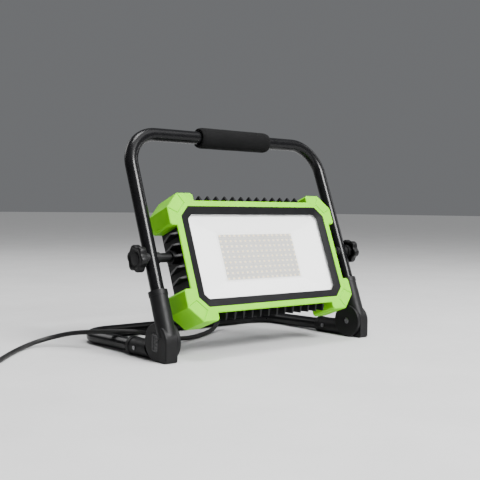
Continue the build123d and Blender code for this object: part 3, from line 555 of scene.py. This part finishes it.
def stand_in(name, bm, *nodes, extra=()):
    """Finished piece that stands for these CAD nodes and moves with them."""
    slot = SLOT_OF[nodes[0]]
    piece = into_scene(name, bm, [MATERIALS[slot], *extra])
    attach(piece, frame["nodes"][nodes[0]]["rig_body"])
    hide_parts(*nodes)
    return piece


def refined(name, width):
    """Finished copy of a CAD node, with its sharp edges rounded by width.

    Faces on the rounded edges carry the "edge" attribute, by which materials paint wear and a
    highlight on them.
    """
    bm = bmesh.new()
    bm.from_mesh(frame["nodes"][name].data)
    bmesh.ops.remove_doubles(bm, verts=bm.verts, dist=2e-6)
    bmesh.ops.dissolve_limit(bm, angle_limit=FLAT, verts=bm.verts, edges=bm.edges)
    edge_layer = bm.faces.layers.float.new("edge")
    edges = [e for e in bm.edges if len(e.link_faces) == 2 and e.calc_face_angle(0) > CREASE]
    made = bmesh.ops.bevel(bm, geom=edges, offset=width, segments=2, profile=0.5,
                           affect="EDGES", clamp_overlap=True)
    for face in made["faces"]:
        face[edge_layer] = 1.0
    piece = stand_in(name + "_finished", bm, name)
    weighted = piece.modifiers.new("weighted", "WEIGHTED_NORMAL")
    weighted.keep_sharp = True
    return piece


# ---------------------------------------------------------------- the mains cord
# The cord's route from the boot behind the head, over the floor, to the coil. Behind the
# head it leaves the CAD's route by up to about 11 mm, to follow the photograph.
CORD_ROUTE = [
    (0.0500, 0.0309, 0.0969),
    (0.0503, 0.0520, 0.0852),
    (0.0506, 0.0684, 0.0704),
    (0.0530, 0.0785, 0.0550),
    (0.0555, 0.0815, 0.0394),
    (0.0515, 0.0795, 0.0226),
    (0.0395, 0.0720, 0.0104),
    (0.0215, 0.0605, 0.0046),
    (-0.0050, 0.0450, 0.0036),
    (-0.0340, 0.0290, 0.0036),
    (-0.0620, 0.0165, 0.0046),
    (-0.0900, 0.0065, 0.0084),
    (-0.1160, 0.0015, 0.0138),
    (-0.1390, 0.0020, 0.0198),
    (-0.1620, 0.0085, 0.0254),
    (-0.1930, 0.0260, 0.0254),
    (-0.2120, 0.0500, 0.0234),
    (-0.2230, 0.0750, 0.0200),
    (-0.2380, 0.0940, 0.0146),
    (-0.2620, 0.1020, 0.0088),
    (-0.2890, 0.0920, 0.0048),
    (-0.3180, 0.0660, 0.0036),
    (-0.3450, 0.0350, 0.0035),
    (-0.3680, 0.0070, 0.0034),
    (-0.3860, -0.0170, 0.0034),
]
TAIL_ROUTE = [
    (-0.4803, -0.0080, 0.0103),
    (-0.4810, 0.0120, 0.0109),
    (-0.4802, 0.0310, 0.0142),
    (-0.4810, 0.0500, 0.0185),
    (-0.4810, 0.0690, 0.0185),
]
COIL_CENTRE = (-0.4365, -0.0130)
COIL_START = math.radians(-34.8)
TURN_POINTS = 16
GLAND_X = 50.0 * MM
GLAND_FACE = 53 * MM        # behind the legs' axis, where the gland's nut starts
BOOT_TIP = 85.4 * MM        # behind the legs' axis
CORD_INSIDE = 12.0 * MM     # the cord's end that the boot hides
COIL_OUTER, COIL_INNER = 43.8 * MM, 29.8 * MM


def coil_turns():
    """Points of the put-away turns: outside to inside on the floor, then back on top."""
    low, high = CORD_D / 2, CORD_D * 1.5 + 0.1 * MM
    # The turn at which the cord is innermost, that at which it is on top, and the last
    down, climb, turns = 2.03, 2.30, 4.34
    fuller = 1 / math.cos(math.pi / TURN_POINTS)
    points = []
    for k in range(int(turns * TURN_POINTS) + 1):
        t = k / TURN_POINTS
        inward, outward = min(t / down, 1), max(t - climb, 0) / (turns - climb)
        radius = (COIL_OUTER + (COIL_INNER - COIL_OUTER) * inward
                  + (COIL_OUTER - COIL_INNER) * outward)
        lift = min(max((t - down) / (climb - down), 0), 1)
        angle = COIL_START - 2 * math.pi * t
        points.append((COIL_CENTRE[0] + fuller * radius * math.cos(angle),
                       COIL_CENTRE[1] + fuller * radius * math.sin(angle),
                       low + (high - low) * lift * lift * (3 - 2 * lift)))
    return points


def on_boot(behind):
    """Point on the boot's axis, by its distance behind the legs' axis."""
    return LEANED @ Vector((GLAND_X, behind, PIVOT_ALONG))


def cord_line():
    """Smooth line of the whole cord, read from its NURBS spline."""
    start = [tuple(on_boot(BOOT_TIP - CORD_INSIDE)), tuple(on_boot(BOOT_TIP))]
    points = start + CORD_ROUTE + coil_turns() + TAIL_ROUTE
    curve = bpy.data.curves.new("cord_line", "CURVE")
    curve.dimensions = "3D"
    spline = curve.splines.new("NURBS")
    spline.points.add(len(points) - 1)
    for point, place in zip(spline.points, points):
        point.co = (*place, 1)
    spline.order_u = 3
    spline.use_endpoint_u = True
    spline.resolution_u = 8
    holder = bpy.data.objects.new("cord_line", curve)
    mesh = bpy.data.meshes.new_from_object(holder)
    line = [v.co.copy() for v in mesh.vertices]
    bpy.data.meshes.remove(mesh)
    bpy.data.objects.remove(holder)
    return line


def mains_cord():
    """The cord, from inside its boot to the plug."""
    line = cord_line()
    bm = bmesh.new()
    tube(bm, line, CORD_D / 2, sides=16)
    cord = into_scene("mains_cord", bm, [MATERIALS["cord_rubber"]])
    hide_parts("power_cord", "cord_coil", "cord_tail")
    tip = on_boot(BOOT_TIP)
    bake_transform(cord)
    return cord, line, tip


# ---------------------------------------------------------------- pieces on the cord
PLUG_START = 66 * MM
RELIEF_RIBS = 4
PLUG_GRIP = (17 * MM, 34 * MM)          # heights between which the grip has grooves
PLUG_GROOVES = 14
CONTACT_START = 41 * MM                 # height at which the earth contacts' flats start
CONTACT_FLAT = 15.9 * MM                # from the plug's axis to each flat
CONTACT_HALF_ANGLE = 0.19


def plug_profile():
    """Half outline of the plug: bend relief, ribbed grip, round head."""
    points = [(3.5, 0), (4.8, 0), (5.2, 3)]
    for k in range(RELIEF_RIBS):
        z, wider = 3.6 + k * 2.6, 0.12 * k
        points += [(5.4 + wider, z), (4.5 + wider, z + 0.5), (4.5 + wider, z + 1.1),
                   (5.5 + wider, z + 1.6)]
    points += [(6.2, 15), (9.0, 17.5), (9.8, 21), (11.0, 26), (13.2, 32), (16.6, 35.2),
               (18.5, 37.5), (18.5, 55.6), (17.6, 57), (0.01, 57), (0.01, 4), (3.5, 4)]
    return [(r * MM, z * MM) for r, z in points]


def plug_shape(radius, height, angle):
    """Finger grooves on the grip, and flats with recesses for the earth contacts."""
    if PLUG_GRIP[0] < height < PLUG_GRIP[1] and radius > 5 * MM:
        radius -= 0.7 * MM * (0.5 + 0.5 * math.cos(PLUG_GROOVES * angle)) ** 2
    sideways = abs(math.sin(angle))
    if (height > CONTACT_START and radius > 16 * MM
            and sideways > math.cos(CONTACT_HALF_ANGLE)):
        radius = CONTACT_FLAT / sideways
    return radius


def plug():
    """Generic round plug, about the middle of the CAD's."""
    low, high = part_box("plug_body")
    place = shift((low.x + high.x) / 2, PLUG_START, (low.z + high.z) / 2) @ ALONG_Y
    bm = bmesh.new()
    lathe(bm, plug_profile(), place, 112, plug_shape)
    return stand_in("plug_moulding", bm, "plug_body")


def coil_tie():
    """Hook and loop strap round the turns, with its end lapped over."""
    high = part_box("coil_tie")[1]
    turn = Matrix.Rotation(math.radians(20), 4, "Z")
    place = Matrix.Translation((*COIL_CENTRE, 0)) @ turn
    inner, outer, top = 25.6 * MM, 48.0 * MM, high.z - 0.4 * MM
    half, thick = 5 * MM, 0.9 * MM
    level = 0.45 * MM
    bm = bmesh.new()

    def band(path, closed):
        rings = []
        for i, point in enumerate(path):
            ahead = path[(i + 1) % len(path)] if closed else path[min(i + 1, len(path) - 1)]
            behind = path[i - 1] if closed else path[max(i - 1, 0)]
            along = (ahead - behind).normalized()
            out = Vector((along.y, -along.x, 0)) * thick / 2
            corners = [(point - out, -half), (point - out, half),
                       (point + out, half), (point + out, -half)]
            rings.append([bm.verts.new(place @ Vector((p.x, w, p.y))) for p, w in corners])
        loft(bm, rings + rings[:1] if closed else rings)
        if not closed:
            bm.faces.new(rings[0])
            bm.faces.new(rings[-1])

    band(rounded([(inner, level, 0), (outer, level, 0), (outer, top, 0), (inner, top, 0)],
                 3.2 * MM, 6, closed=True), True)
    band(rounded([(outer + thick, 3.0 * MM, 0), (outer + thick, top + thick, 0),
                  (inner + 9 * MM, top + thick, 0)], 3.6 * MM, 6), False)
    return stand_in("coil_strap", bm, "coil_tie")


def strain_boot():
    """Tapered bend relief with ring grooves, in the gland's nut."""
    base, tip = GLAND_FACE, BOOT_TIP - 0.4 * MM
    bore = CORD_D / 2 + 0.1 * MM
    points = [(bore, base), (4.9 * MM, base), (4.9 * MM, base + 10 * MM),
              (6.3 * MM, base + 10.6 * MM), (6.3 * MM, base + 13 * MM)]
    start, pitch, count = base + 13.4 * MM, 2.25 * MM, 7
    for k in range(count):
        outer = (6.0 - 0.2 * k) * MM
        z = start + k * pitch
        points += [(outer - 1.3 * MM, z), (outer - 1.3 * MM, z + 0.8 * MM),
                   (outer, z + 1.0 * MM), (outer - 0.1 * MM, z + pitch - 0.15 * MM)]
    points += [(4.5 * MM, tip - 1.2 * MM), (4.0 * MM, tip), (bore, tip)]
    bm = bmesh.new()
    lathe(bm, points, LEANED @ shift(GLAND_X, 0, PIVOT_ALONG) @ ALONG_Y, 48)
    return stand_in("strain_boot", bm, "cord_boot")


# ---------------------------------------------------------------- tubes and grip
HANDLE_TOP = 302.5 * MM
LEG_START = 32 * MM
HANDLE_BEND = 50 * MM
BASE_BEND = 41 * MM
BEND_STEPS = 28
BASE_TUBE_START = 6 * MM                # inside the sockets, past BASE_START
BASE_START = (27 * MM, 12.5 * MM)       # behind the hinge, above the floor
BASE_DEPTH = 212 * MM


def handle_bar():
    """The handle's tube, up one leg, across the top and down the other."""
    x = LEG_X
    corners = [(-x, 0, LEG_START), (-x, 0, HANDLE_TOP), (x, 0, HANDLE_TOP), (x, 0, LEG_START)]
    path = rounded(corners, HANDLE_BEND, BEND_STEPS)
    bm = bmesh.new()
    tube(bm, [LEANED @ p for p in path], TUBE_R, 48)
    stand_in("handle_bar", bm, "handle_tube")


def base_bar():
    """The base's tube, sloping down from its sockets to lie on the floor behind."""
    reach = BASE_DEPTH - BASE_START[0]
    slope = math.atan((BASE_START[1] - TUBE_R) / reach)
    place = (shift(0, HINGE.y + BASE_START[0], BASE_START[1])
             @ Matrix.Rotation(-slope, 4, "X"))
    far, near = reach / math.cos(slope), BASE_TUBE_START
    path = rounded([(-LEG_X, near, 0), (-LEG_X, far, 0), (LEG_X, far, 0), (LEG_X, near, 0)],
                   BASE_BEND, BEND_STEPS)
    bm = bmesh.new()
    tube(bm, [place @ p for p in path], TUBE_R, 48)
    stand_in("base_bar", bm, "base_tube")


def foam_grip():
    """Foam sleeve with rounded ends, a rolled-in mouth and a slightly uneven skin."""
    low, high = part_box("foam_grip")
    length, radius = high.x - low.x, (high.y - low.y) / 2
    half = length / 2
    bore, mouth, rim = TUBE_R + 0.1 * MM, TUBE_R + 1.3 * MM, radius - 1.4 * MM
    outline = rounded([(bore, -half + 3 * MM, 0), (mouth, -half + 0.2 * MM, 0),
                       (rim, -half, 0), (radius, -half + 6 * MM, 0),
                       (radius, half - 6 * MM, 0), (rim, half, 0),
                       (mouth, half - 0.2 * MM, 0), (bore, half - 3 * MM, 0)],
                      3.6 * MM, 6, closed=True)
    profile = []
    for point, after in zip(outline, outline[1:] + outline[:1]):
        steps = max(1, round((after - point).length / (1.6 * MM)))
        profile += [tuple(point.lerp(after, k / steps))[:2] for k in range(steps)]
    place = LEANED @ shift((low.x + high.x) / 2, 0, HANDLE_TOP) @ ALONG_X
    bm = bmesh.new()
    lathe(bm, profile, place, 120)
    bm.normal_update()
    bmesh.ops.recalc_face_normals(bm, faces=bm.faces)
    for vert in bm.verts:
        swell = 0.16 * noise.noise(vert.co * 70) + 0.07 * noise.noise(vert.co * 420)
        vert.co += vert.normal * swell * MM
    grip = stand_in("grip_sleeve", bm, "foam_grip")


# ---------------------------------------------------------------- knobs, buttons, springs
KNOB_R = 19 * MM
KNOB_START = 195 * MM
KNOB_LOBES = 6
KNOB_HUB_R = 10 * MM
VALLEY_DEPTH = 3.0 * MM
BAR_PITCH = 4.4 * MM                    # of the grip bars on a lock button
BAR_HALF = (0.8 * MM, 2.9 * MM)


def knob_shape(radius, height, angle):
    """Finger valleys between the lobes, fading out towards the hub."""
    turn = 0.5 + 0.5 * math.cos(KNOB_LOBES * (angle - math.pi / KNOB_LOBES))
    share = min(max((radius - KNOB_HUB_R) / (KNOB_R - KNOB_HUB_R), 0), 1)
    return radius - VALLEY_DEPTH * share * turn ** 1.3


def knob(name, side):
    """Star knob: dished face with a raised ring, lobes hollow behind, and a plain hub."""
    points = [(6.05, 0), (9.6, 0), (10.0, 0.5), (10.0, 11.4), (10.6, 12.0), (14.3, 12.0),
              (14.9, 11.4), (14.9, 4.6), (15.3, 4.1), (17.6, 4.3), (18.6, 4.9), (19.0, 6.1),
              (19.0, 12.6), (18.6, 13.9), (17.6, 14.7), (16.0, 15.0), (13.6, 14.6),
              (12.6, 13.6), (9.4, 13.4), (8.6, 14.3), (7.4, 14.5), (3.0, 14.6), (0.01, 14.6),
              (0.01, 11.1), (6.05, 11.1)]
    place = LEANED @ shift(KNOB_START, 0, PIVOT_ALONG) @ ALONG_X
    bm = bmesh.new()
    lathe(bm, [(r * MM, z * MM) for r, z in points], MIRROR @ place if side < 0 else place,
          168, knob_shape)
    stand_in("star_" + name, bm, name)


def lock_button(name, side):
    """Push button with a raised rim, a dished middle and three grip bars."""
    low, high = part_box(name)
    middle = (low + high) / 2
    w, h, t = (high.y - low.y) / 2, (high.z - low.z) / 2, high.x - low.x
    inner_x = middle.x - side * t / 2
    turn = ALONG_X if side > 0 else ALONG_X @ Matrix.Rotation(math.pi, 4, "X")
    place = shift(inner_x, middle.y, middle.z) @ turn

    def outline(inset):
        corners = [(-h + inset, -w + inset, 0), (h - inset, -w + inset, 0),
                   (h - inset, w - inset, 0), (-h + inset, w - inset, 0)]
        return rounded(corners, max(3.5 * MM - inset, 1 * MM), 6, closed=True)

    levels = [(0, 0), (0, t - 0.9 * MM), (0.25 * MM, t - 0.3 * MM), (0.9 * MM, t),
              (1.9 * MM, t), (2.5 * MM, t - 0.4 * MM), (2.9 * MM, t - 1.3 * MM)]
    bm = bmesh.new()
    rings = [[bm.verts.new(place @ Vector((p.x, p.y, z))) for p in outline(inset)]
             for inset, z in levels]
    loft(bm, rings)
    bm.faces.new(rings[0])
    bm.faces.new(rings[-1])
    across, along = BAR_HALF
    for k in (-1, 0, 1):
        x = k * BAR_PITCH
        bar = [(x - across, -along), (x + across, -along),
               (x + across, along), (x - across, along)]
        prism(bm, bar, t - 1.6 * MM, t - 0.5 * MM, place, 0.3 * MM)
    stand_in("push_" + name, bm, name)


def lock_spring(name, side):
    """Coil spring behind a button."""
    low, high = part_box(name)
    wire, turns, steps = 0.3 * MM, 3.2, 28
    radius = (high.y - low.y) / 2 - wire
    fixed = low.x if side > 0 else high.x
    span = (high.x - low.x - 2 * wire) * side
    points = []
    for k in range(int(turns * steps) + 1):
        share = k / (turns * steps)
        angle = 2 * math.pi * turns * share
        points.append(Vector((fixed + side * wire + span * share,
                              HINGE.y + radius * math.cos(angle),
                              HINGE.z + radius * math.sin(angle))))
    bm = bmesh.new()
    tube(bm, points, wire, 10)
    spring = stand_in("coil_" + name, bm, name)
    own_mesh(spring)


def gland_nut():
    """Domed nut with twelve flutes round it."""
    def flutes(radius, height, angle):
        if radius > 8.2 * MM and height < 7.5 * MM:
            return radius - 0.7 * MM * (0.5 + 0.5 * math.cos(12 * angle)) ** 3
        return radius

    points = [(5.0, 0), (8.7, 0), (9.0, 0.4), (9.0, 6.6), (8.8, 7.4), (8.3, 8.4), (7.4, 9.3),
              (6.2, 9.9), (5.0, 10)]
    place = LEANED @ shift(GLAND_X, GLAND_FACE, PIVOT_ALONG) @ ALONG_Y
    bm = bmesh.new()
    lathe(bm, [(r * MM, z * MM) for r, z in points], place, 144, flutes)
    stand_in("fluted_nut", bm, "gland_nut")


# ---------------------------------------------------------------- lamps
LED_COLUMNS, LED_ROWS = 16, 9
LED_SIZE = (3.5 * MM, 2.8 * MM)
# Sections of one lamp from its back: (share of its size, height in millimetres)
LED_SECTIONS = [(1.0, 0.0), (1.0, 0.62), (0.90, 0.8), (0.74, 0.8), (0.68, 0.66)]
ARRAY_HALF = (70.5 * MM, 33.2 * MM)
FIELD_MARGIN = 0.6 * MM                 # of the grey field round the lamps
FIELD_THICK = 0.12 * MM
BOARD_FACE = -12 * MM                   # the board's front, ahead of the legs' axis
HEAD_MID = 111.5 * MM


def led(bm, x, z, back):
    """White package with a phosphor window sunk in its face."""
    w, h = (v / 2 for v in LED_SIZE)
    rings = []
    for size, rise in LED_SECTIONS:
        corners = [(-w * size, -h * size), (w * size, -h * size),
                   (w * size, h * size), (-w * size, h * size)]
        rings.append([bm.verts.new(LEANED @ Vector((x + a, back - rise * MM, z + b)))
                      for a, b in corners])
    before = len(bm.faces)
    loft(bm, rings)
    bm.faces.new(rings[0])
    window = bm.faces.new(rings[-1])
    window.material_index = 0
    bm.faces.ensure_lookup_table()
    for face in bm.faces[before:]:
        if face is not window:
            face.material_index = 1


def led_array():
    """All the lamps, on a thin field that is greyer than the board round it."""
    step_x = (2 * ARRAY_HALF[0] - LED_SIZE[0]) / (LED_COLUMNS - 1)
    step_z = (2 * ARRAY_HALF[1] - LED_SIZE[1]) / (LED_ROWS - 1)
    bm = bmesh.new()
    half_x, half_z = ARRAY_HALF[0] + FIELD_MARGIN, ARRAY_HALF[1] + FIELD_MARGIN
    field = [(-half_x, -half_z), (half_x, -half_z), (half_x, half_z), (-half_x, half_z)]
    prism(bm, field, 0, FIELD_THICK, LEANED @ shift(0, BOARD_FACE, HEAD_MID) @ FORWARD)
    for face in bm.faces:
        face.material_index = 2
    for i in range(LED_COLUMNS):
        for j in range(LED_ROWS):
            led(bm, (i - (LED_COLUMNS - 1) / 2) * step_x,
                HEAD_MID + (j - (LED_ROWS - 1) / 2) * step_z, BOARD_FACE)
    stand_in("led_array", bm, "led_chips",
             extra=[MATERIALS["reflector_white"], MATERIALS["led_field"]])


# ---------------------------------------------------------------- floor
def make_floor():
    """Wide plain floor, pale and slightly uneven in tone and gloss."""
    bm = bmesh.new()
    bmesh.ops.create_grid(bm, x_segments=8, y_segments=8, size=30)
    material = new_material("floor", Specular_IOR_Level=0.3)
    tone = ramp(material, noise_of(material, 6, 6),
                [(0.3, (0.50, 0.50, 0.50)), (0.7, (0.54, 0.54, 0.54))])
    link(material, tone, shader_of(material).inputs["Base Color"])
    link(material, spread(material, noise_of(material, 30), 0.55, 0.7),
         shader_of(material).inputs["Roughness"])
    into_scene("floor", bm, [material])


# ---------------------------------------------------------------- assembly
make_camera()
MATERIALS = make_materials()
cord, cord_points, cord_exit = mains_cord()
tie = coil_tie()
plug_piece = plug()
pins = refined("plug_pins", 0.15 * MM)
contacts = refined("plug_earth_contacts", 0.15 * MM)
strain_boot()

handle_bar()
base_bar()
foam_grip()
led_array()
gland_nut()
for word, side in (("left", -1), ("right", 1)):
    knob("knob_" + word, side)
    lock_button("lock_button_" + word, side)
    lock_spring("lock_spring_" + word, side)

# Rounding of each remaining CAD node's sharp edges, in millimetres.
ROUNDING = {
    "front_frame": 0.7,
    "bezel": 0.35,
    "lens_glass": 0.3,
    "lens_gasket": 0.1,
    "reflector": 0.25,
    "led_board": 0.2,
    "thermal_pad": 0.1,
    "heat_sink_housing": 0.45,
    "frame_screws": 0.15,
    "driver_housing": 0.4,
    "driver_gasket": 0.1,
    "driver_cover": 0.3,
    "driver_cover_screws": 0.15,
    "driver_board": 0.2,
    "driver_parts": 0.5,
    "switch_body": 0.3,
    "switch_rocker": 0.35,
    "cable_gland": 0.3,
    "pivot_studs": 0.3,
    "pivot_spacers": 0.4,
    "leg_saddles": 0.25,
    "handle_connector_left": 0.5,
    "handle_connector_right": 0.5,
    "base_connector_left": 0.5,
    "base_connector_right": 0.5,
    "hinge_bolts": 0.25,
    "handle_screws": 0.15,
    "base_screws": 0.15,
    "knob_insert_left": 0.2,
    "knob_insert_right": 0.2,
}
for name, width in ROUNDING.items():
    refined(name, width * MM)

make_floor()
make_lights()
